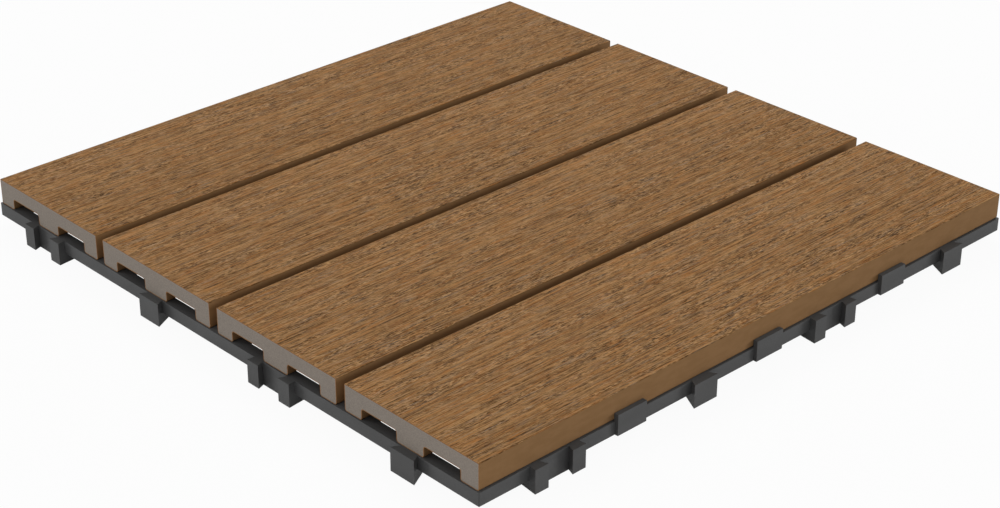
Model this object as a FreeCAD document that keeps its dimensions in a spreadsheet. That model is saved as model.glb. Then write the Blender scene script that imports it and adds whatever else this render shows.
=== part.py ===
# Interlocking deck tile: four grooved boards screwed to one moulded grid base.
# Millimetres, +Z up. The origin is on the ground under the middle of the tile, the boards run
# along Y, and their cut ends face -Y and +Y.
import FreeCAD, Part
import math
import os
import Sketcher

PARTS_FOLDER = "parts"

# The driving dimensions: alias, millimetres or a count, and what it sets.
SIZES = [
    ("board_count", 4, "boards side by side"),
    ("board_pitch", 76.2, "from one board's middle to the next, a quarter of a 304.8 mm laying module"),
    ("board_gap", 4.8, "drainage gap between two boards, also between the boards of two tiles"),
    ("board_end_gap", 4.8, "gap between the board ends of two tiles laid in line"),
    ("board_thick", 11.4, "height of a board"),
    ("board_spine", 14.6, "solid middle of a board, between its two channels"),
    ("channel_width", 19.0, "width of each channel under a board"),
    ("channel_depth", 4.8, "height of each channel under a board"),
    ("channel_round", 1.0, "radius in the roof corners of a channel"),
    ("board_top_round", 0.3, "radius along a board's upper long edges"),
    ("board_foot_round", 1.0, "radius along the lower edges of a board's three bearing ribs"),
    ("base_height", 10.1, "from the ground to the underside of the boards"),
    ("tile_joint", 3.4, "from the rail of one tile to the rail of the next, when they are joined"),
    ("rail_height", 5.7, "height of the rail round the base"),
    ("rail_wall", 2.0, "thickness of the rail's outer wall"),
    ("rail_corner", 0.3, "radius on the four upright corners of the rail"),
    ("flange_width", 5.2, "width of the flange along the top of the rail, where the boards lie"),
    ("flange_thick", 2.0, "thickness of that flange"),
    ("rib_thick", 1.8, "thickness of the grid's ribs"),
    ("rib_depth", 4.5, "height of the edge ribs and cross ribs, and of a boss above its screw's head"),
    ("middle_rib_depth", 3.6, "height of the rib under the middle of each board"),
    ("edge_rib_inset", 8.2, "from a board's side to the middle of the rib below it"),
    ("cells_per_board", 3, "grid cells to one board pitch, in the direction of the boards"),
    ("connector_play", 0.2, "clearance between a tongue's face and the wall of the socket it enters"),
    ("connector_depth", 8.4, "from a connector's outer face to the back of its block"),
    ("tongue_width", 12.7, "width of a dovetail tongue at its outer face"),
    ("tongue_flare", 28.0, "angle of the tongue's flanks, in degrees"),
    ("socket_play", 0.8, "clearance each side of the tongue at the back of a socket"),
    ("socket_catch", 0.4, "how far each lip of a socket reaches in behind the tongue's corner"),
    ("post_width", 6.6, "width of a socket's post at its outer face"),
    ("post_taper", 1.0, "how much the socket block narrows each side, from its outer face to its back"),
    ("clip_length", 15.0, "length of a side clip along the rail"),
    ("clip_thick", 2.0, "thickness of a side clip"),
    ("clip_rise", 3.2, "how far a side clip stands up beside the board"),
    ("clip_play", 0.2, "clearance between a side clip and the board"),
    ("screw_rows", 3, "screws along each board"),
    ("cells_between_screws", 4, "grid cells from one screw to the next along a board"),
    ("screw_shank", 3.6, "diameter of the screw's shank"),
    ("screw_grip", 8.0, "how far a screw reaches into its board"),
    ("screw_point", 2.0, "length of the screw's point"),
    ("screw_head", 7.6, "diameter of the screw's pan head"),
    ("screw_head_height", 2.4, "height of the screw's head"),
    ("screw_head_bevel", 1.0, "bevel on the edge of the screw's head"),
    ("pilot_play", 0.1, "how much wider than the shank the pilot hole is"),
    ("pilot_spare", 0.6, "how much deeper than the screw's tip the pilot hole is"),
    ("bore_play", 0.8, "how much wider than the shank the hole through the base is"),
    ("head_play", 1.4, "how much wider than the head the counterbore is"),
    ("boss_wall", 1.8, "wall round the counterbore"),
    ("foot_width", 11.0, "side of a square hollow foot"),
    ("foot_wall", 1.8, "wall of a hollow foot"),
    ("foot_rows", 5, "hollow feet along each gap between boards"),
    ("cells_between_feet", 2, "grid cells from one hollow foot to the next"),
]

# Places and sizes that follow from the driving dimensions, as expressions of the sheet.
MODULE = "(Sizes.board_count * Sizes.board_pitch)"
FIRST_BOARD = "(-0.5 * (Sizes.board_count - 1) * Sizes.board_pitch)"
FIRST_GAP = "(-0.5 * (Sizes.board_count - 2) * Sizes.board_pitch)"
BOARD_WIDTH = "(Sizes.board_pitch - Sizes.board_gap)"
BOARD_LENGTH = f"({MODULE} - Sizes.board_end_gap)"
FIELD_HALF = f"(0.5 * ({MODULE} - Sizes.board_gap))"
RAIL_HALF = f"(0.5 * ({MODULE} - Sizes.tile_joint))"
RAIL_INSIDE = f"({RAIL_HALF} - Sizes.rail_wall)"
FLANGE_INSIDE = f"({RAIL_HALF} - Sizes.flange_width)"
RAIL_FOOT = "(Sizes.base_height - Sizes.rail_height)"
RIB_END = f"({RAIL_HALF} - 0.5 * Sizes.rail_wall)"
EDGE_RIB = f"(0.5 * {BOARD_WIDTH} - Sizes.edge_rib_inset)"
CELL = "(Sizes.board_pitch / Sizes.cells_per_board)"
CROSS_RIBS = "(Sizes.board_count * Sizes.cells_per_board - 1)"
FIRST_CROSS_RIB = f"(-0.5 * ({CROSS_RIBS} - 1) * {CELL})"
CONNECTOR_FACE = f"({RAIL_HALF} + Sizes.tile_joint - Sizes.connector_play)"
CONNECTOR_BACK = f"({CONNECTOR_FACE} - Sizes.connector_depth)"
TONGUE_HALF = "(0.5 * Sizes.tongue_width)"
TONGUE_BACK_HALF = f"({TONGUE_HALF} - Sizes.connector_depth * tan(Sizes.tongue_flare * 1deg))"
SOCKET_BACK_HALF = f"({TONGUE_HALF} + Sizes.socket_play)"
SOCKET_MOUTH_HALF = f"({TONGUE_HALF} - Sizes.socket_catch)"
POST_OUTSIDE = f"({SOCKET_MOUTH_HALF} + Sizes.post_width)"
SCREW_SEAT = "(Sizes.base_height - Sizes.rib_depth)"
SCREW_SPACING = f"(Sizes.cells_between_screws * {CELL})"
FIRST_SCREW_ROW = f"(-0.5 * (Sizes.screw_rows - 1) * {SCREW_SPACING})"
COUNTERBORE = "(Sizes.screw_head + Sizes.head_play)"
FOOT_SPACING = f"(Sizes.cells_between_feet * {CELL})"
FIRST_FOOT = f"(-0.5 * (Sizes.foot_rows - 1) * {FOOT_SPACING})"


def make_sheet(doc):
    sheet = doc.addObject("Spreadsheet::Sheet", "Sizes")
    for row, (alias, value, meaning) in enumerate(SIZES, start=1):
        sheet.set(f"A{row}", meaning)
        sheet.set(f"B{row}", str(value))
        sheet.setAlias(f"B{row}", alias)
    doc.recompute()
    return sheet


def origin_feature(body, role):
    return next(item for item in body.Origin.OriginFeatures if item.Role == role)


def new_sketch(body, name, role, level="0"):
    """A sketch on one of the body's origin planes, moved along the plane's normal by level."""
    sketch = body.newObject("Sketcher::SketchObject", name)
    sketch.AttachmentSupport = (origin_feature(body, role), [""])
    sketch.MapMode = "FlatFace"
    sketch.setExpression(".AttachmentOffset.Base.z", level)
    return sketch


def pin(sketch, curve, point, x, y):
    """Bind a sketch point's two coordinates to expressions of the sheet."""
    for axis, place in (("DistanceX", x), ("DistanceY", y)):
        number = sketch.addConstraint(Sketcher.Constraint(axis, -1, 1, curve, point, 1.0))
        sketch.setExpression(f"Constraints[{number}]", place)


def draw_outline(sketch, corners):
    """A closed outline of straight lines through corners given as pairs of expressions."""
    first = sketch.GeometryCount
    count = len(corners)
    rough = [FreeCAD.Vector(40 * math.cos(step * math.tau / count),
                            40 * math.sin(step * math.tau / count), 0) for step in range(count)]
    for index in range(count):
        sketch.addGeometry(Part.LineSegment(rough[index], rough[(index + 1) % count]), False)
    for index, (x, y) in enumerate(corners):
        after = first + (index + 1) % count
        sketch.addConstraint(Sketcher.Constraint("Coincident", first + index, 2, after, 1))
        pin(sketch, first + index, 1, x, y)


def draw_rectangle(sketch, west, east, south, north):
    draw_outline(sketch, [(west, south), (east, south), (east, north), (west, north)])


def draw_square(sketch, half, x="0", y="0"):
    draw_rectangle(sketch, f"{x} - {half}", f"{x} + {half}", f"{y} - {half}", f"{y} + {half}")


def draw_circle(sketch, diameter, x, y):
    circle = sketch.addGeometry(Part.Circle(FreeCAD.Vector(), FreeCAD.Vector(0, 0, 1), 1), False)
    pin(sketch, circle, 3, x, y)
    number = sketch.addConstraint(Sketcher.Constraint("Diameter", circle, 2.0))
    sketch.setExpression(f"Constraints[{number}]", diameter)


def add_pad(body, name, sketch, length, symmetric=False):
    pad = body.newObject("PartDesign::Pad", name)
    pad.Profile = sketch
    pad.setExpression("Length", length)
    pad.Refine = False
    if symmetric:
        pad.SideType = "Symmetric"
    return pad


def add_pocket(body, name, sketch, length):
    """Cut upwards from the sketch."""
    pocket = body.newObject("PartDesign::Pocket", name)
    pocket.Profile = sketch
    pocket.Reversed = True
    pocket.Refine = False
    pocket.setExpression("Length", length)
    return pocket


def add_row(body, name, features, role, spacing, copies):
    """Repeat features along one of the body's axes."""
    row = body.newObject("PartDesign::LinearPattern", name)
    row.Originals = features
    row.Refine = False
    set_row(row, body, role, spacing, copies)
    body.Tip = row
    return row


def set_row(row, body, role, spacing, copies):
    row.Direction = (origin_feature(body, role), [""])
    row.Mode = "Spacing"
    row.setExpression("Offset", spacing)
    row.setExpression("Occurrences", copies)


def add_grid_of_copies(body, name, features, along_x, along_y):
    """Repeat features over a rectangle, given a spacing and a count for each direction."""
    copies = body.newObject("PartDesign::MultiTransform", name)
    copies.Originals = features
    rows = []
    for role, (spacing, count) in (("X_Axis", along_x), ("Y_Axis", along_y)):
        row = body.newObject("PartDesign::LinearPattern", f"{name}_along_{role[0]}")
        set_row(row, body, role, spacing, count)
        rows.append(row)
    copies.Transformations = rows
    body.Tip = copies
    return copies


def add_four_sides(body, name, features):
    """Repeat what was made on the -Y side on the other three, a quarter turn apart."""
    turn = body.newObject("PartDesign::PolarPattern", name)
    turn.Originals = features
    turn.Refine = False
    turn.Axis = (origin_feature(body, "Z_Axis"), [""])
    turn.Angle = 360
    turn.Occurrences = 4
    body.Tip = turn
    return turn


def add_fillet(body, name, base, radius, wanted):
    """Round the edges of base that pass the test called wanted."""
    body.Document.recompute()
    edges = [f"Edge{number}" for number, edge in enumerate(base.Shape.Edges, start=1)
             if wanted(edge, edge.CenterOfMass)]
    if not edges:
        raise RuntimeError(f"{name} finds no edge")
    fillet = body.newObject("PartDesign::Fillet", name)
    fillet.Base = (base, edges)
    fillet.setExpression("Radius", radius)
    return fillet


def new_body(doc, name):
    body = doc.addObject("PartDesign::Body", name)
    body.Label = name
    body.AllowCompound = True
    return body


def add_rail(body):
    """The rail round the base: an upright wall under an inward flange."""
    wall = new_sketch(body, "rail_wall_outline", "XY_Plane", RAIL_FOOT)
    draw_square(wall, RAIL_HALF)
    draw_square(wall, RAIL_INSIDE)
    add_pad(body, "rail_wall", wall, "Sizes.rail_height")
    flange = new_sketch(body, "rail_flange_outline", "XY_Plane", "Sizes.base_height - Sizes.flange_thick")
    draw_square(flange, RAIL_HALF)
    draw_square(flange, FLANGE_INSIDE)
    whole = add_pad(body, "rail_flange", flange, "Sizes.flange_thick")
    body.Document.recompute()
    reach = whole.Shape.BoundBox.XMax

    def at_corner(edge, middle):
        upright = abs(edge.BoundBox.ZLength - edge.Length) < 1e-6
        return upright and min(abs(middle.x), abs(middle.y)) > reach - 1e-6

    add_fillet(body, "rail_corners", whole, "Sizes.rail_corner", at_corner)


def add_grid(body):
    """The ribs inside the rail: three along each board, and the cross ribs."""
    def long_rib(sketch, x):
        draw_rectangle(sketch, f"{x} - Sizes.rib_thick / 2", f"{x} + Sizes.rib_thick / 2",
                       f"-{RIB_END}", RIB_END)

    edge = new_sketch(body, "edge_rib_outline", "XY_Plane", "Sizes.base_height - Sizes.rib_depth")
    long_rib(edge, f"{FIRST_BOARD} - {EDGE_RIB}")
    long_rib(edge, f"{FIRST_BOARD} + {EDGE_RIB}")
    edge_pad = add_pad(body, "edge_ribs", edge, "Sizes.rib_depth")
    add_row(body, "edge_ribs_per_board", [edge_pad], "X_Axis", "Sizes.board_pitch", "Sizes.board_count")

    middle = new_sketch(body, "middle_rib_outline", "XY_Plane", "Sizes.base_height - Sizes.middle_rib_depth")
    long_rib(middle, FIRST_BOARD)
    middle_pad = add_pad(body, "middle_ribs", middle, "Sizes.middle_rib_depth")
    add_row(body, "middle_ribs_per_board", [middle_pad], "X_Axis", "Sizes.board_pitch", "Sizes.board_count")

    cross = new_sketch(body, "cross_rib_outline", "XY_Plane", "Sizes.base_height - Sizes.rib_depth")
    draw_rectangle(cross, f"-{RIB_END}", RIB_END, f"{FIRST_CROSS_RIB} - Sizes.rib_thick / 2",
                   f"{FIRST_CROSS_RIB} + Sizes.rib_thick / 2")
    cross_pad = add_pad(body, "cross_ribs", cross, "Sizes.rib_depth")
    add_row(body, "cross_ribs_in_row", [cross_pad], "Y_Axis", CELL, CROSS_RIBS)


def add_feet(body, rows):
    """Square hollow feet below the gaps, where the cross ribs will carry them."""
    sketch = new_sketch(body, "foot_outline", "XY_Plane")
    for row in range(rows):
        place = f"({FIRST_FOOT} + {row} * {FOOT_SPACING})"
        draw_square(sketch, "(Sizes.foot_width / 2)", FIRST_GAP, place)
        draw_square(sketch, "(Sizes.foot_width / 2 - Sizes.foot_wall)", FIRST_GAP, place)
    feet = add_pad(body, "feet_below_gap", sketch, "Sizes.base_height")
    add_row(body, "feet", [feet], "X_Axis", "Sizes.board_pitch", "Sizes.board_count - 1")


def draw_screw_circles(sketch, diameter, columns, rows):
    """A circle round each screw, for the first few boards and all rows along them."""
    for column in range(columns):
        for row in range(rows):
            draw_circle(sketch, diameter, f"{FIRST_BOARD} + {column} * Sizes.board_pitch",
                        f"{FIRST_SCREW_ROW} + {row} * {SCREW_SPACING}")


def add_screw_bosses(body, rows):
    """Round bosses that stand on the ground and hide a screw's head in their counterbore."""
    outside = new_sketch(body, "boss_outline", "XY_Plane")
    draw_screw_circles(outside, f"{COUNTERBORE} + 2 * Sizes.boss_wall", 1, rows)
    bosses = add_pad(body, "bosses_below_board", outside, "Sizes.base_height")
    inside = new_sketch(body, "counterbore_outline", "XY_Plane")
    draw_screw_circles(inside, COUNTERBORE, 1, rows)
    counterbores = add_pocket(body, "counterbores", inside, SCREW_SEAT)
    add_row(body, "bosses", [bosses, counterbores], "X_Axis", "Sizes.board_pitch", "Sizes.board_count")


def add_screw_bores(body, columns, rows):
    """The clearance holes for the screws, cut once the ribs cross the bosses."""
    outline = new_sketch(body, "screw_bore_outline", "XY_Plane", SCREW_SEAT)
    draw_screw_circles(outline, "Sizes.screw_shank + Sizes.bore_play", columns, rows)
    return add_pocket(body, "screw_bores", outline, "Sizes.rib_depth")


def add_connectors(body):
    """Dovetail tongues and sockets, so laid out that every side fits every side of the next tile."""
    tongues = new_sketch(body, "tongue_outline", "XY_Plane")
    for place in ("-0.5 * Sizes.board_pitch", "(0.5 * Sizes.board_count - 0.5) * Sizes.board_pitch"):
        draw_outline(tongues, [
            (f"{place} - {TONGUE_HALF}", f"-{CONNECTOR_FACE}"),
            (f"{place} + {TONGUE_HALF}", f"-{CONNECTOR_FACE}"),
            (f"{place} + {TONGUE_BACK_HALF}", f"-{CONNECTOR_BACK}"),
            (f"{place} - {TONGUE_BACK_HALF}", f"-{CONNECTOR_BACK}"),
        ])
    tongue_pad = add_pad(body, "tongues", tongues, "Sizes.base_height")

    sockets = new_sketch(body, "socket_outline", "XY_Plane")
    for place in (FIRST_BOARD, "0.5 * Sizes.board_pitch"):
        draw_outline(sockets, [
            (f"{place} - {POST_OUTSIDE}", f"-{CONNECTOR_FACE}"),
            (f"{place} - {SOCKET_MOUTH_HALF}", f"-{CONNECTOR_FACE}"),
            (f"{place} - {SOCKET_BACK_HALF}", f"-{RAIL_HALF}"),
            (f"{place} + {SOCKET_BACK_HALF}", f"-{RAIL_HALF}"),
            (f"{place} + {SOCKET_MOUTH_HALF}", f"-{CONNECTOR_FACE}"),
            (f"{place} + {POST_OUTSIDE}", f"-{CONNECTOR_FACE}"),
            (f"{place} + {POST_OUTSIDE} - Sizes.post_taper", f"-{CONNECTOR_BACK}"),
            (f"{place} - {POST_OUTSIDE} + Sizes.post_taper", f"-{CONNECTOR_BACK}"),
        ])
    socket_pad = add_pad(body, "sockets", sockets, "Sizes.base_height")
    add_four_sides(body, "connectors", [tongue_pad, socket_pad])


def add_clips(body):
    """Upright clips that grip the two outer boards' sides, level with the gaps of a turned tile."""
    sketch = new_sketch(body, "clip_outline", "XY_Plane", RAIL_FOOT)
    near = f"({FIELD_HALF} + Sizes.clip_play)"
    far = f"({near} + Sizes.clip_thick)"
    south = f"{FIRST_GAP} - Sizes.clip_length / 2"
    north = f"{FIRST_GAP} + Sizes.clip_length / 2"
    draw_rectangle(sketch, near, far, south, north)
    draw_rectangle(sketch, f"-{far}", f"-{near}", south, north)
    clip_pad = add_pad(body, "clip_pair", sketch, "Sizes.rail_height + Sizes.clip_rise")
    add_row(body, "clips", [clip_pad], "Y_Axis", "Sizes.board_pitch", "Sizes.board_count - 1")


def make_base(doc, sheet):
    """The moulded base. The ribs come late, because every step after them has more to work on."""
    body = new_body(doc, "base_grid")
    screw_rows = int(sheet.screw_rows)
    add_rail(body)
    add_connectors(body)
    add_clips(body)
    add_feet(body, int(sheet.foot_rows))
    add_screw_bosses(body, screw_rows)
    add_grid(body)
    whole = add_screw_bores(body, int(sheet.board_count), screw_rows)
    whole.Refine = True
    return body


def make_board(doc, index):
    """One extruded board with two channels below, and pilot holes in its solid middle."""
    body = new_body(doc, f"board_{index + 1}")
    half = f"(0.5 * {BOARD_WIDTH})"
    spine = "(0.5 * Sizes.board_spine)"
    channel = f"({spine} + Sizes.channel_width)"
    profile = new_sketch(body, "board_profile", "XZ_Plane")
    low = "Sizes.base_height"
    roof = "Sizes.base_height + Sizes.channel_depth"
    top = "Sizes.base_height + Sizes.board_thick"
    draw_outline(profile, [
        (f"-{half}", low), (f"-{channel}", low), (f"-{channel}", roof), (f"-{spine}", roof),
        (f"-{spine}", low), (spine, low), (spine, roof), (channel, roof),
        (channel, low), (half, low), (half, top), (f"-{half}", top),
    ])
    board = add_pad(body, "board_length", profile, BOARD_LENGTH, symmetric=True)
    doc.recompute()
    heights = sorted({round(vertex.Z, 6) for vertex in board.Shape.Vertexes})

    def runs_along(edge):
        return abs(edge.BoundBox.YLength - edge.Length) < 1e-6

    def at_level(level):
        return lambda edge, middle: runs_along(edge) and abs(middle.z - heights[level]) < 1e-6

    board = add_fillet(body, "board_feet", board, "Sizes.board_foot_round", at_level(0))
    board = add_fillet(body, "channel_roofs", board, "Sizes.channel_round", at_level(1))
    add_fillet(body, "board_top", board, "Sizes.board_top_round", at_level(2))

    pilots = new_sketch(body, "pilot_outline", "XY_Plane", low)
    draw_circle(pilots, "Sizes.screw_shank + Sizes.pilot_play", "0", FIRST_SCREW_ROW)
    pilot = add_pocket(body, "pilot_hole", pilots, "Sizes.screw_grip + Sizes.pilot_spare")
    add_row(body, "pilot_holes", [pilot], "Y_Axis", SCREW_SPACING, "Sizes.screw_rows")
    body.setExpression(".Placement.Base.x", f"{FIRST_BOARD} + {index} * Sizes.board_pitch")
    return body


def make_screws(doc):
    """The pan-head screws that hold the boards, driven upwards through the base."""
    body = new_body(doc, "board_screws")
    profile = new_sketch(body, "screw_profile", "XZ_Plane", f"-{FIRST_SCREW_ROW}")
    profile.setExpression(".AttachmentOffset.Base.x", FIRST_BOARD)
    head = "Sizes.screw_head / 2"
    shank = "Sizes.screw_shank / 2"
    underside = f"({SCREW_SEAT} - Sizes.screw_head_height)"
    tip = "(Sizes.base_height + Sizes.screw_grip)"
    draw_outline(profile, [
        ("0", underside), (f"{head} - Sizes.screw_head_bevel", underside),
        (head, f"{underside} + Sizes.screw_head_bevel"), (head, SCREW_SEAT),
        (shank, SCREW_SEAT), (shank, f"{tip} - Sizes.screw_point"), ("0", tip),
    ])
    screw = body.newObject("PartDesign::Revolution", "screw")
    screw.Profile = profile
    screw.ReferenceAxis = (profile, ["V_Axis"])
    screw.Angle = 360
    add_grid_of_copies(body, "screws", [screw], ("Sizes.board_pitch", "Sizes.board_count"),
                       (SCREW_SPACING, "Sizes.screw_rows"))
    return body


def check(doc, bodies):
    for item in doc.Objects:
        if "Invalid" in item.State or "Error" in item.State:
            raise RuntimeError(f"{item.Name} failed: {item.State}")
        if item.TypeId == "PartDesign::Pocket" and item.Shape.Volume >= item.BaseFeature.Shape.Volume:
            raise RuntimeError(f"{item.Name} cuts nothing")
    for body in bodies:
        if body.Shape.isNull() or not body.Shape.isValid():
            raise RuntimeError(f"{body.Label} has no valid shape")


doc = FreeCAD.newDocument("deck_tile")
sheet = make_sheet(doc)
bodies = [make_base(doc, sheet)]
bodies += [make_board(doc, index) for index in range(int(sheet.board_count))]
bodies.append(make_screws(doc))
doc.recompute()
check(doc, bodies)
os.makedirs(PARTS_FOLDER, exist_ok=True)
for body in bodies:
    body.Shape.exportStep(os.path.join(PARTS_FOLDER, f"{body.Label}.step"))
    box = body.Shape.BoundBox
    print(f"{body.Label}: {len(body.Shape.Solids)} solids, {body.Shape.Volume / 1000:.1f} cm3, "
          f"{box.XLength:.1f} x {box.YLength:.1f} x {box.ZLength:.1f} mm")
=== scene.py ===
import math
import bmesh
import bpy
from mathutils import Matrix, Vector


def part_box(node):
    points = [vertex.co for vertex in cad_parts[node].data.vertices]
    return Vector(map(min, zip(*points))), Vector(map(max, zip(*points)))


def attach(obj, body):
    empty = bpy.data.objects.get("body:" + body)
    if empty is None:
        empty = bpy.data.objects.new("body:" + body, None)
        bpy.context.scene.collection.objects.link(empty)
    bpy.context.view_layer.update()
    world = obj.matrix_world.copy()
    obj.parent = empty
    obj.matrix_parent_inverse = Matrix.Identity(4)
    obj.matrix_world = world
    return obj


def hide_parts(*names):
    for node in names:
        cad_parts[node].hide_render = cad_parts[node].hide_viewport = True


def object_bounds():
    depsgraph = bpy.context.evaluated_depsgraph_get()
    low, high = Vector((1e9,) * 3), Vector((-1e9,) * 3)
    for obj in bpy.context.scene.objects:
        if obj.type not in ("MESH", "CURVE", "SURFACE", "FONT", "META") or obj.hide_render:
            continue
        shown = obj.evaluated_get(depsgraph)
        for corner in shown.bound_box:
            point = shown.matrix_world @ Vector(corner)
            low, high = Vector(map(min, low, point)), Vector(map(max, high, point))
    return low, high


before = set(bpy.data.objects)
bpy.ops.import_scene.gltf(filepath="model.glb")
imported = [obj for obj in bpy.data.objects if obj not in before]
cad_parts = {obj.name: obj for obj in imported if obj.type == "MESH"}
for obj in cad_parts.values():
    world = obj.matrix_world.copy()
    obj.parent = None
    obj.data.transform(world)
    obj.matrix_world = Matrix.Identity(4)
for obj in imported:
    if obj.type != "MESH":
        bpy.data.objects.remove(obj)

solid_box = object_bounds()

# The studio: a white floor under an even sky, a soft lamp high behind the tile and a low one at its left
# and its right. The camera stands off the front right corner, above the boards, on a long lens.
LENS, SENSOR_WIDTH, CLIP_END = 79.69, 36.0, 10.0
CAMERA_PLACE = Matrix((
    (0.68692, -0.34469, 0.63979, 0.61161),
    (0.72673, 0.32219, -0.60668, -0.57823),
    (0.00299, 0.88169, 0.47181, 0.43934),
    (0.0, 0.0, 0.0, 1.0)))
WHITE = (1.0, 1.0, 1.0, 1.0)
SKY_LEVEL = 0.54
FLOOR_GLOW = 0.95
FLOOR_GREY = (0.65, 0.65, 0.65, 1.0)
FLOOR_HALF = 6.0
# Each lamp's name, where it shines from, its strength and its spread in degrees.
LAMPS = (("back_lamp", (-0.75, 0.60, 1.0), 1.36, 30.0),
         ("left_lamp", (-1.0, -0.6, 0.10), 1.8, 20.0),
         ("right_lamp", (0.6, 1.0, 0.10), 1.8, 20.0))

camera_data = bpy.data.cameras.new("camera")
camera_data.sensor_width = SENSOR_WIDTH
camera_data.lens = LENS
camera_data.clip_end = CLIP_END
camera = bpy.data.objects.new("camera", camera_data)
camera.matrix_world = CAMERA_PLACE
bpy.context.scene.collection.objects.link(camera)
bpy.context.scene.camera = camera
bpy.context.scene.view_settings.view_transform = "Standard"


def rays_that_see_white(tree):
    """One for a ray from the camera, off a gloss or through glass, and zero for all others."""
    rays = tree.nodes.new("ShaderNodeLightPath")
    seen = rays.outputs["Is Camera Ray"]
    for kind in ("Is Glossy Ray", "Is Transmission Ray"):
        either = tree.nodes.new("ShaderNodeMath")
        either.operation = "MAXIMUM"
        tree.links.new(seen, either.inputs[0])
        tree.links.new(rays.outputs[kind], either.inputs[1])
        seen = either.outputs[0]
    return seen


studio_world = bpy.data.worlds.new("white_sky")
bpy.context.scene.world = studio_world
studio_world.use_nodes = True
sky = studio_world.node_tree
sky.nodes.clear()
sky_strength = sky.nodes.new("ShaderNodeMapRange")
sky_strength.inputs["To Min"].default_value = SKY_LEVEL
sky_strength.inputs["To Max"].default_value = 1.0
sky.links.new(rays_that_see_white(sky), sky_strength.inputs["Value"])
sky_light = sky.nodes.new("ShaderNodeBackground")
sky_light.inputs["Color"].default_value = WHITE
sky.links.new(sky_strength.outputs["Result"], sky_light.inputs["Strength"])
sky_output = sky.nodes.new("ShaderNodeOutputWorld")
sky.links.new(sky_light.outputs[0], sky_output.inputs["Surface"])

for name, place, strength, spread in LAMPS:
    lamp_data = bpy.data.lights.new(name, "SUN")
    lamp_data.energy = strength
    lamp_data.angle = math.radians(spread)
    lamp = bpy.data.objects.new(name, lamp_data)
    lamp.location = place
    lamp.rotation_euler = Vector(place).to_track_quat("Z", "Y").to_euler()
    bpy.context.scene.collection.objects.link(lamp)

floor_mesh = bpy.data.meshes.new("floor")
floor_shape = bmesh.new()
bmesh.ops.create_grid(floor_shape, x_segments=1, y_segments=1, size=FLOOR_HALF)
floor_shape.to_mesh(floor_mesh)
floor_shape.free()
floor = bpy.data.objects.new("floor", floor_mesh)
bpy.context.scene.collection.objects.link(floor)
floor_paint = bpy.data.materials.new("floor_paint")
floor_paint.use_nodes = True
paint = floor_paint.node_tree
paint.nodes.clear()
paint_share = paint.nodes.new("ShaderNodeMath")
paint_share.operation = "MULTIPLY"
paint_share.inputs[1].default_value = FLOOR_GLOW
paint.links.new(rays_that_see_white(paint), paint_share.inputs[0])
paint_matt = paint.nodes.new("ShaderNodeBsdfDiffuse")
paint_matt.inputs["Color"].default_value = FLOOR_GREY
paint_white = paint.nodes.new("ShaderNodeEmission")
paint_white.inputs["Color"].default_value = WHITE
paint_mix = paint.nodes.new("ShaderNodeMixShader")
paint.links.new(paint_share.outputs[0], paint_mix.inputs[0])
paint.links.new(paint_matt.outputs[0], paint_mix.inputs[1])
paint.links.new(paint_white.outputs[0], paint_mix.inputs[2])
paint_output = paint.nodes.new("ShaderNodeOutputMaterial")
paint.links.new(paint_mix.outputs[0], paint_output.inputs["Surface"])
floor_mesh.materials.append(floor_paint)


# The base: one moulding in dark grey polypropylene, with the ribs, feet, dovetails and side clips
# all in one shot. It leaves the tool with a fine spark-eroded grain and a dull, slightly uneven sheen.
PLASTIC_DARK, PLASTIC_PALE = (0.078, 0.078, 0.078), (0.090, 0.090, 0.090)
PLASTIC_SMOOTH, PLASTIC_ROUGH = 0.48, 0.62
PLASTIC_GRAIN_DEPTH = 0.04


def start_finish(name, roughness, gloss):
    """A material with a principled shader and its output, ready for colour, roughness and bump."""
    finish = bpy.data.materials.new(name)
    finish.use_nodes = True
    tree = finish.node_tree
    tree.nodes.clear()
    shader = tree.nodes.new("ShaderNodeBsdfPrincipled")
    shader.inputs["Roughness"].default_value = roughness
    shader.inputs["Specular IOR Level"].default_value = gloss
    output = tree.nodes.new("ShaderNodeOutputMaterial")
    tree.links.new(shader.outputs[0], output.inputs["Surface"])
    return finish, tree, shader


def lay_pattern(tree, texture, blotch, origin, turn):
    """Fix a texture to the piece. blotch is the size of its marks along X, Y and Z in millimetres,
    turn an angle in the plan in degrees."""
    place = tree.nodes.new("ShaderNodeTexCoord")
    mapping = tree.nodes.new("ShaderNodeMapping")
    mapping.vector_type = "TEXTURE"
    mapping.inputs["Scale"].default_value = [size / 1000.0 for size in blotch]
    mapping.inputs["Location"].default_value = origin
    mapping.inputs["Rotation"].default_value = (0.0, 0.0, math.radians(turn))
    texture.inputs["Scale"].default_value = 1.0
    tree.links.new(place.outputs["Object"], mapping.inputs["Vector"])
    tree.links.new(mapping.outputs[0], texture.inputs["Vector"])


def grain_noise(tree, blotch, detail=2.0, coarseness=0.5, distortion=0.0, origin=(0.0, 0.0, 0.0), turn=0.0):
    """Cloudy noise from 0 to 1, laid as in lay_pattern."""
    noise = tree.nodes.new("ShaderNodeTexNoise")
    noise.inputs["Detail"].default_value = detail
    noise.inputs["Roughness"].default_value = coarseness
    noise.inputs["Distortion"].default_value = distortion
    lay_pattern(tree, noise, blotch, origin, turn)
    return noise.outputs["Fac"]


def ease(tree, value, low, high, to_low=0.0, to_high=1.0):
    """Spread a value between two limits, smoothly, and hold it outside them."""
    spread = tree.nodes.new("ShaderNodeMapRange")
    spread.interpolation_type = "SMOOTHSTEP"
    spread.inputs["From Min"].default_value = low
    spread.inputs["From Max"].default_value = high
    spread.inputs["To Min"].default_value = to_low
    spread.inputs["To Max"].default_value = to_high
    tree.links.new(value, spread.inputs["Value"])
    return spread.outputs["Result"]


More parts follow.
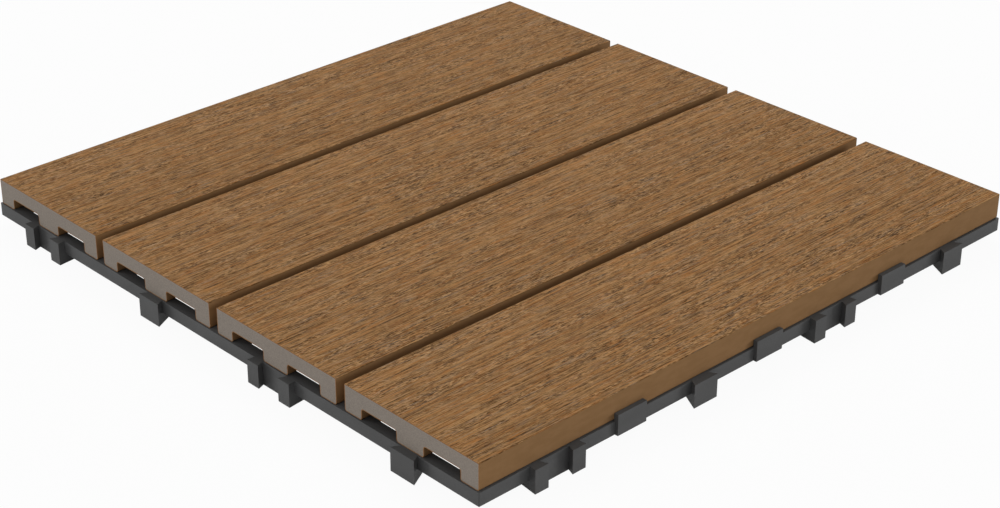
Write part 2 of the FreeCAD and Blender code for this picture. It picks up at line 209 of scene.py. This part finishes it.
def tint(tree, share, below, above):
    """Go from one colour to another by a share. Each colour is a socket or three numbers."""
    mix = tree.nodes.new("ShaderNodeMix")
    mix.data_type = "RGBA"
    tree.links.new(share, mix.inputs[0])
    for place, colour in ((6, below), (7, above)):
        if isinstance(colour, tuple):
            mix.inputs[place].default_value = (*colour, 1.0)
        else:
            tree.links.new(colour, mix.inputs[place])
    return mix.outputs[2]


def raise_grain(tree, shader, height, depth_mm):
    """Bump the surface by a height from 0 to 1, depth_mm deep."""
    bump = tree.nodes.new("ShaderNodeBump")
    bump.inputs["Strength"].default_value = 1.0
    bump.inputs["Distance"].default_value = depth_mm / 1000.0
    tree.links.new(height, bump.inputs["Height"])
    tree.links.new(bump.outputs[0], shader.inputs["Normal"])


moulded_plastic, plastic_tree, plastic_shader = start_finish("moulded_plastic", 0.6, 0.1)
plastic_cloud = grain_noise(plastic_tree, (30.0, 30.0, 12.0))
plastic_spark = grain_noise(plastic_tree, (0.5, 0.5, 0.5))
plastic_grey = tint(plastic_tree, ease(plastic_tree, plastic_cloud, 0.35, 0.65), PLASTIC_DARK, PLASTIC_PALE)
plastic_sheen = ease(plastic_tree, plastic_spark, 0.3, 0.7, PLASTIC_SMOOTH, PLASTIC_ROUGH)
plastic_tree.links.new(plastic_grey, plastic_shader.inputs["Base Color"])
plastic_tree.links.new(plastic_sheen, plastic_shader.inputs["Roughness"])
raise_grain(plastic_tree, plastic_shader, plastic_spark, PLASTIC_GRAIN_DEPTH)
base_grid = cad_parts["base_grid"]
base_grid.data.materials.clear()
base_grid.data.materials.append(moulded_plastic)


# The screws: twelve pan heads of bright stainless steel with a six-lobed recess, driven upwards through
# the bosses. Only the heads can be seen, from below; the threads are inside the boards.
SCREW_PLACES = [(x, y) for x in (-0.1143, -0.0381, 0.0381, 0.1143) for y in (-0.1016, 0.0, 0.1016)]
SCREW_SIDES = 24
HEAD_LOW, HEAD_HIGH, SCREW_TIP, TIP_LENGTH = 0.0032, 0.0056, 0.0181, 0.003
HEAD_RADIUS, THREAD_RADIUS, CORE_RADIUS = 0.0038, 0.0018, 0.0013
# The head's rounded edge: how far in from its radius and how far above its flat crown.
HEAD_EDGE = ((0.0011, 0.00008), (0.0005, 0.0004), (0.0001, 0.001), (0.0, 0.0016))
RECESS_RADIUS, RECESS_DEPTH, LOBE_COUNT, LOBE_REACH = 0.00145, 0.0014, 6, 0.0002
CROWN_FLAT = RECESS_RADIUS * 1.7
THREAD_PITCH, THREAD_TURNS = 0.0016, 5
# The thread starts this far above the head, has this half width at its root and is sunk this far in the core.
THREAD_START, THREAD_HALF, THREAD_SUNK = 0.0022, 0.0003, 0.0002
STEEL_DARK, STEEL_PALE = (0.50, 0.50, 0.51), (0.62, 0.62, 0.63)
STEEL_SMOOTH, STEEL_ROUGH = 0.22, 0.38


def spin_round(shape, profile):
    """Turn a line of (radius, height) points into a round skin about the Z axis."""
    points = [shape.verts.new((radius, 0.0, height)) for radius, height in profile]
    lines = [shape.edges.new(pair) for pair in zip(points, points[1:])]
    bmesh.ops.spin(shape, geom=points + lines, axis=(0, 0, 1), cent=(0, 0, 0), dvec=(0, 0, 0),
                   angle=math.tau, steps=SCREW_SIDES, use_merge=True)


def make_screw(shape):
    """One screw on the Z axis, head down: head and core in one skin, lobed recess, wound thread."""
    edge_line = [(HEAD_RADIUS - inward, HEAD_LOW + upward) for inward, upward in HEAD_EDGE]
    spin_round(shape, [(CROWN_FLAT, HEAD_LOW), *edge_line, (HEAD_RADIUS, HEAD_HIGH), (CORE_RADIUS, HEAD_HIGH),
                       (CORE_RADIUS, SCREW_TIP - TIP_LENGTH), (0.0, SCREW_TIP)])
    bmesh.ops.remove_doubles(shape, verts=shape.verts, dist=1e-6)
    rim = [edge for edge in shape.edges if edge.is_boundary]
    lobes = bmesh.ops.create_circle(shape, segments=SCREW_SIDES, radius=RECESS_RADIUS,
                                    matrix=Matrix.Translation((0, 0, HEAD_LOW)))["verts"]
    for vert in lobes:
        turn = math.atan2(vert.co.y, vert.co.x)
        reach = RECESS_RADIUS + LOBE_REACH * math.cos(LOBE_COUNT * turn)
        vert.co.x, vert.co.y = reach * math.cos(turn), reach * math.sin(turn)
    lip = [edge for edge in shape.edges if edge.is_wire]
    bmesh.ops.bridge_loops(shape, edges=rim + lip)
    sunk = bmesh.ops.extrude_edge_only(shape, edges=lip)["geom"]
    bmesh.ops.translate(shape, vec=(0, 0, RECESS_DEPTH),
                        verts=[part for part in sunk if isinstance(part, bmesh.types.BMVert)])
    bmesh.ops.contextual_create(shape, geom=[part for part in sunk if isinstance(part, bmesh.types.BMEdge)])
    low = HEAD_HIGH + THREAD_START
    crest = [shape.verts.new(place) for place in ((CORE_RADIUS - THREAD_SUNK, 0, low - THREAD_HALF),
                                                  (THREAD_RADIUS, 0, low),
                                                  (CORE_RADIUS - THREAD_SUNK, 0, low + THREAD_HALF))]
    lines = [shape.edges.new(pair) for pair in zip(crest, crest[1:])]
    bmesh.ops.spin(shape, geom=crest + lines, axis=(0, 0, 1), cent=(0, 0, 0),
                   dvec=(0, 0, THREAD_PITCH / SCREW_SIDES), angle=THREAD_TURNS * math.tau,
                   steps=THREAD_TURNS * SCREW_SIDES)
    bmesh.ops.recalc_face_normals(shape, faces=shape.faces)


one_screw = bmesh.new()
make_screw(one_screw)
one_screw_mesh = bpy.data.meshes.new("one_screw")
one_screw.to_mesh(one_screw_mesh)
one_screw.free()
all_screws = bmesh.new()
for x, y in SCREW_PLACES:
    before = len(all_screws.verts)
    all_screws.from_mesh(one_screw_mesh)
    all_screws.verts.ensure_lookup_table()
    # Each screw has stopped at a turn of its own.
    turned = Matrix.Translation((x, y, 0)) @ Matrix.Rotation(7.0 * x + 3.0 * y, 4, "Z")
    bmesh.ops.transform(all_screws, matrix=turned, verts=all_screws.verts[before:])
screws_mesh = bpy.data.meshes.new("screws")
all_screws.to_mesh(screws_mesh)
all_screws.free()
bpy.data.meshes.remove(one_screw_mesh)
screws_mesh.shade_smooth()
screws_mesh.set_sharp_from_angle(angle=math.radians(35))
screws = bpy.data.objects.new("screws", screws_mesh)
bpy.context.scene.collection.objects.link(screws)
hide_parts("board_screws")
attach(screws, "root")

stainless_steel, steel_tree, steel_shader = start_finish("stainless_steel", 0.3, 0.5)
steel_shader.inputs["Metallic"].default_value = 1.0
steel_dull = grain_noise(steel_tree, (0.4, 0.4, 1.5), detail=3.0)
steel_sheen = ease(steel_tree, steel_dull, 0.3, 0.7, STEEL_SMOOTH, STEEL_ROUGH)
steel_tree.links.new(tint(steel_tree, steel_dull, STEEL_DARK, STEEL_PALE), steel_shader.inputs["Base Color"])
steel_tree.links.new(steel_sheen, steel_shader.inputs["Roughness"])
screws_mesh.materials.append(stainless_steel)


# The boards: wood flour and polyethylene, extruded in one pass with a thin brown cap all round a grey-brown
# core. The top is rolled with a brushed wood grain, the ends are sawn to length and show the core.
BOARD_COUNT = 4
BOARD_SPINE, CHANNEL_WIDTH, CHANNEL_DEPTH = 0.0146, 0.0190, 0.0048
FOOT_ROUND, ROOF_ROUND, TOP_ROUND, ROUND_STEPS = 0.0010, 0.0010, 0.0003, 4
CAP_THICK = 0.0003
CORE_SLOT, CUT_SLOT = 1, 2
NEAR, LONG_EDGE = 1e-6, 0.1


def extrude_board(shape, low_corner, high_corner):
    """The board's section at its near end, drawn out along Y, with its long edges rounded."""
    west, south, low = low_corner
    east, north, top = high_corner
    middle = 0.5 * (west + east)
    spine = 0.5 * BOARD_SPINE
    channel = spine + CHANNEL_WIDTH
    roof = low + CHANNEL_DEPTH
    section = [(west, low), (middle - channel, low), (middle - channel, roof), (middle - spine, roof),
               (middle - spine, low), (middle + spine, low), (middle + spine, roof), (middle + channel, roof),
               (middle + channel, low), (east, low), (east, top), (west, top)]
    end = shape.faces.new([shape.verts.new((x, south, z)) for x, z in section])
    drawn = bmesh.ops.extrude_face_region(shape, geom=[end])["geom"]
    bmesh.ops.translate(shape, vec=(0, north - south, 0),
                        verts=[part for part in drawn if isinstance(part, bmesh.types.BMVert)])
    for level, radius in ((low, FOOT_ROUND), (roof, ROOF_ROUND), (top, TOP_ROUND)):
        long_edges = [edge for edge in shape.edges
                      if all(abs(vert.co.z - level) < NEAR for vert in edge.verts)
                      and abs(edge.verts[0].co.y - edge.verts[1].co.y) > LONG_EDGE]
        bmesh.ops.bevel(shape, geom=long_edges, offset=radius, offset_type="OFFSET", segments=ROUND_STEPS,
                        profile=0.5, affect="EDGES", material=-1)
    bmesh.ops.recalc_face_normals(shape, faces=shape.faces)


def saw_ends(shape):
    """Part the cap's cut edge from the core on both sawn ends."""
    ends = [face for face in shape.faces if abs(face.normal.y) > 0.9]
    for face in bmesh.ops.inset_region(shape, faces=ends, thickness=CAP_THICK, use_even_offset=True,
                                       use_boundary=True)["faces"]:
        face.material_index = CUT_SLOT
    for face in ends:
        face.material_index = CORE_SLOT


def fibre_cells(tree, blotch, origin, turn=0.0):
    """Long pointed cells, each with a chance value of its own, laid as in lay_pattern."""
    cells = tree.nodes.new("ShaderNodeTexVoronoi")
    lay_pattern(tree, cells, blotch, origin, turn)
    chance = tree.nodes.new("ShaderNodeSeparateColor")
    tree.links.new(cells.outputs["Color"], chance.inputs[0])
    return chance.outputs[0]


def combine(tree, operation, first, second):
    """A math node of two values, each a socket or a number."""
    node = tree.nodes.new("ShaderNodeMath")
    node.operation = operation
    for place, value in enumerate((first, second)):
        if isinstance(value, float):
            node.inputs[place].default_value = value
        else:
            tree.links.new(value, node.inputs[place])
    return node.outputs[0]


def times(tree, first, second):
    """The product of two values, each a socket or a number."""
    return combine(tree, "MULTIPLY", first, second)


def weigh(tree, values, weights):
    """The sum of several sockets, each with its weight."""
    total = 0.0
    for value, weight in zip(values, weights):
        total = combine(tree, "ADD", total, times(tree, value, weight))
    return total


# The brushing leaves long thin fibres. Along drawn-out patches it has torn the skin: there the fibres are
# short and raised, with painted highlights on them, dark pits in chains, grey and red flecks and some fibres
# lying aslant.
GRAIN_DARK, GRAIN_PALE = (0.060, 0.027, 0.0100), (0.408, 0.222, 0.087)
SLANT_PALE, SLANT_SHARE = (0.43, 0.26, 0.125), 0.65
FLECK_GREY, GREY_SHARE_CALM, GREY_SHARE_TORN = (0.255, 0.187, 0.130), 0.35, 0.65
FLECK_RED, RED_SHARE = (0.330, 0.130, 0.033), 0.7
# The colour and share of the painted highlights on the raised short fibres.
PAINTED_GLINT_PALE, PAINTED_GLINT_SHARE = (0.560, 0.345, 0.165), 0.40
PIT_DARK, PIT_SHARE = (0.052, 0.029, 0.015), 0.85
SIDE_DARK, SIDE_PALE = (0.221, 0.122, 0.053), (0.240, 0.134, 0.060)
# The shares of long fibres, long streaks, middle fibres and short streaks.
CALM_WEIGHTS, TORN_WEIGHTS = (0.19, 0.37, 0.11, 0.33), (0.09, 0.13, 0.16, 0.62)
# How far below the top the brushing starts and is full, and how much that line wavers.
BRUSH_START, BRUSH_FULL, BRUSH_WAVER = 0.00060, 0.00040, 0.0005
PIT_RELIEF, MOTTLE_RELIEF, CAP_RELIEF_DEPTH = 0.5, 0.05, 0.35
CAP_ROUGH, CAP_SMOOTH = 0.82, 0.70

capped_composite, cap_tree, cap_shader = start_finish("capped_composite", 0.75, 0.04)
patch = grain_noise(cap_tree, (3.4, 46.0, 60.0), distortion=0.4, origin=(0.5, 0.2, 0.0), turn=-1.5)
torn = ease(cap_tree, patch, 0.47, 0.62)
long_fibre = fibre_cells(cap_tree, (0.28, 30.0, 30.0), origin=(0.31, 0.7, 0.0))
middle_fibre = fibre_cells(cap_tree, (0.28, 7.0, 20.0), origin=(0.11, 0.3, 0.0), turn=-0.5)
long_streak = grain_noise(cap_tree, (0.28, 26.0, 20.0), coarseness=0.55, origin=(0.2, 0.6, 0.0))
short_streak = grain_noise(cap_tree, (0.26, 2.0, 9.0), detail=1.0, origin=(0.23, 0.9, 0.0), turn=-1.5)
slant_streak = grain_noise(cap_tree, (0.40, 3.4, 9.0), detail=1.0, origin=(0.63, 0.19, 0.0), turn=-28.0)
slant_patch = grain_noise(cap_tree, (4.0, 9.0, 20.0), origin=(0.27, 0.83, 0.0))
fleck = grain_noise(cap_tree, (0.55, 12.0, 12.0), coarseness=0.6, distortion=0.2,
                    origin=(0.4, 0.5, 0.0), turn=-2.0)
red_fleck = grain_noise(cap_tree, (0.5, 12.0, 12.0), coarseness=0.6, distortion=0.2, origin=(0.51, 0.44, 0.0))
pit_mark = grain_noise(cap_tree, (0.36, 11.0, 20.0), detail=1.0, origin=(0.77, 0.04, 0.0), turn=-1.0)
mottle = grain_noise(cap_tree, (6.0, 9.0, 3.0), detail=3.0, coarseness=0.6)
edge_wave = grain_noise(cap_tree, (4.0, 7.0, 4.0))

strands = (long_fibre, long_streak, middle_fibre, short_streak)
grain_mix = cap_tree.nodes.new("ShaderNodeMix")
cap_tree.links.new(torn, grain_mix.inputs[0])
cap_tree.links.new(weigh(cap_tree, strands, CALM_WEIGHTS), grain_mix.inputs[2])
cap_tree.links.new(weigh(cap_tree, strands, TORN_WEIGHTS), grain_mix.inputs[3])
streaks = grain_mix.outputs[0]
wood_colour = tint(cap_tree, ease(cap_tree, streaks, 0.33, 0.67), GRAIN_DARK, GRAIN_PALE)
slanted = times(cap_tree, ease(cap_tree, slant_patch, 0.48, 0.60), ease(cap_tree, slant_streak, 0.50, 0.66))
wood_colour = tint(cap_tree, times(cap_tree, slanted, SLANT_SHARE), wood_colour, SLANT_PALE)
grey_share = ease(cap_tree, torn, 0.0, 1.0, GREY_SHARE_CALM, GREY_SHARE_TORN)
grey_flecks = times(cap_tree, ease(cap_tree, fleck, 0.50, 0.66), grey_share)
wood_colour = tint(cap_tree, grey_flecks, wood_colour, FLECK_GREY)
red_flecks = times(cap_tree, ease(cap_tree, red_fleck, 0.50, 0.66), RED_SHARE)
wood_colour = tint(cap_tree, red_flecks, wood_colour, FLECK_RED)
# Painted highlights: pale glints on the raised short fibres in the torn patches, standing in for light caught
# by their relief.
painted_glints = times(cap_tree, torn, ease(cap_tree, short_streak, 0.55, 0.69))
wood_colour = tint(cap_tree, times(cap_tree, painted_glints, PAINTED_GLINT_SHARE), wood_colour, PAINTED_GLINT_PALE)
pits = times(cap_tree, ease(cap_tree, patch, 0.50, 0.58), ease(cap_tree, pit_mark, 0.56, 0.61))
pits = times(cap_tree, pits, ease(cap_tree, short_streak, 0.56, 0.44))
wood_colour = tint(cap_tree, times(cap_tree, pits, PIT_SHARE), wood_colour, PIT_DARK)

side_colour = tint(cap_tree, ease(cap_tree, mottle, 0.35, 0.65), SIDE_DARK, SIDE_PALE)
place = cap_tree.nodes.new("ShaderNodeTexCoord")
height = cap_tree.nodes.new("ShaderNodeSeparateXYZ")
cap_tree.links.new(place.outputs["Object"], height.inputs[0])
brush_line = combine(cap_tree, "SUBTRACT", height.outputs["Z"], times(cap_tree, edge_wave, BRUSH_WAVER))
board_top = solid_box[1][2]
brushed = ease(cap_tree, brush_line, board_top - BRUSH_START, board_top - BRUSH_FULL)
cap_tree.links.new(tint(cap_tree, brushed, side_colour, wood_colour), cap_shader.inputs["Base Color"])
relief = combine(cap_tree, "SUBTRACT", streaks, times(cap_tree, pits, PIT_RELIEF))
relief = times(cap_tree, relief, brushed)
relief = combine(cap_tree, "ADD", relief, times(cap_tree, mottle, MOTTLE_RELIEF))
raise_grain(cap_tree, cap_shader, relief, CAP_RELIEF_DEPTH)
cap_sheen = ease(cap_tree, streaks, 0.36, 0.64, CAP_ROUGH, CAP_SMOOTH)
cap_tree.links.new(cap_sheen, cap_shader.inputs["Roughness"])

# The sawn ends: a matt core speckled with wood flour, and the cap's cut edge round it.
CORE_DARK, CORE_PALE = (0.216, 0.186, 0.158), (0.281, 0.241, 0.205)
CORE_CLOUD, CLOUD_SHARE, CORE_RELIEF_DEPTH = (0.27, 0.235, 0.20), 0.2, 0.12
CUT_DARK, CUT_PALE = (0.235, 0.110, 0.040), (0.285, 0.140, 0.052)

sawn_core, core_tree, core_shader = start_finish("sawn_core", 0.8, 0.1)
flour = grain_noise(core_tree, (0.35, 0.35, 0.35), detail=3.0, coarseness=0.7)
core_cloud = grain_noise(core_tree, (6.0, 6.0, 6.0))
core_colour = tint(core_tree, ease(core_tree, flour, 0.35, 0.65), CORE_DARK, CORE_PALE)
core_colour = tint(core_tree, times(core_tree, core_cloud, CLOUD_SHARE), core_colour, CORE_CLOUD)
core_tree.links.new(core_colour, core_shader.inputs["Base Color"])
raise_grain(core_tree, core_shader, flour, CORE_RELIEF_DEPTH)

cut_cap, cut_tree, cut_shader = start_finish("cut_cap", 0.7, 0.1)
cut_cloud = grain_noise(cut_tree, (3.0, 3.0, 3.0))
cut_colour = tint(cut_tree, ease(cut_tree, cut_cloud, 0.35, 0.65), CUT_DARK, CUT_PALE)
cut_tree.links.new(cut_colour, cut_shader.inputs["Base Color"])

for number in range(1, BOARD_COUNT + 1):
    node = f"board_{number}"
    low_corner, high_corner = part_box(node)
    board_shape = bmesh.new()
    extrude_board(board_shape, low_corner, high_corner)
    saw_ends(board_shape)
    board_mesh = bpy.data.meshes.new(f"capped_{node}")
    board_shape.to_mesh(board_mesh)
    board_shape.free()
    board_mesh.shade_smooth()
    board_mesh.set_sharp_from_angle(angle=math.radians(30))
    for finish in (capped_composite, sawn_core, cut_cap):
        board_mesh.materials.append(finish)
    board = bpy.data.objects.new(f"capped_{node}", board_mesh)
    bpy.context.scene.collection.objects.link(board)
    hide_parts(node)
    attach(board, "root")
